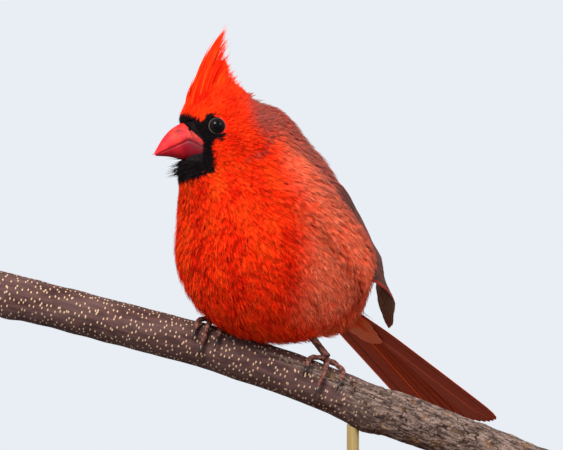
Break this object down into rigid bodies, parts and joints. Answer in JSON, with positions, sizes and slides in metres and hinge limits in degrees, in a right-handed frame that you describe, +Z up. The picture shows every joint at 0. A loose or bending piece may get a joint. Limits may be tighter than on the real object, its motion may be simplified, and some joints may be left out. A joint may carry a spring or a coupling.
{
  "type": "northern cardinal model on a perch and display stand",
  "caption": "Life-size still model of a male northern cardinal with raised crest, gripping a cut branch on a flat display stand.",
  "frame": {"origin": "centre of the underside of the display stand's base, on the surface the stand rests on", "axes": "+Z up; the picture's camera looks along +Y; +X to the right in the picture, so the bird faces -X and turns its breast to -X and -Y"},
  "size_m": [0.2383, 0.1687, 0.2186],
  "materials": {
    "breast_feathers": "matte",
    "wing_feathers": "matte",
    "tail_feathers": "matte",
    "bill": "satin",
    "eye": "gloss",
    "leg_skin": "satin",
    "claw": "satin",
    "bark": "matte",
    "base_wood": "satin",
    "brass": "satin"
  },
  "bodies": {
    "root": {"torso": "breast_feathers", "neck": "breast_feathers", "head": "breast_feathers", "eye_left": "eye", "eye_right": "eye", "bill_upper": "bill", "bill_lower": "bill", "wing_left": "wing_feathers", "wing_right": "wing_feathers", "tail": "tail_feathers", "thigh_left": "breast_feathers", "thigh_right": "breast_feathers", "tarsus_left": "leg_skin", "tarsus_right": "leg_skin", "foot_left": "leg_skin", "foot_right": "leg_skin", "claw_left_inner": "claw", "claw_left_middle": "claw", "claw_left_outer": "claw", "claw_left_hind": "claw", "claw_right_inner": "claw", "claw_right_middle": "claw", "claw_right_outer": "claw", "claw_right_hind": "claw", "perch": "bark", "stand_base": "base_wood", "stand_rod_1": "brass", "stand_rod_2": "brass"}
  },
  "joints": []
}
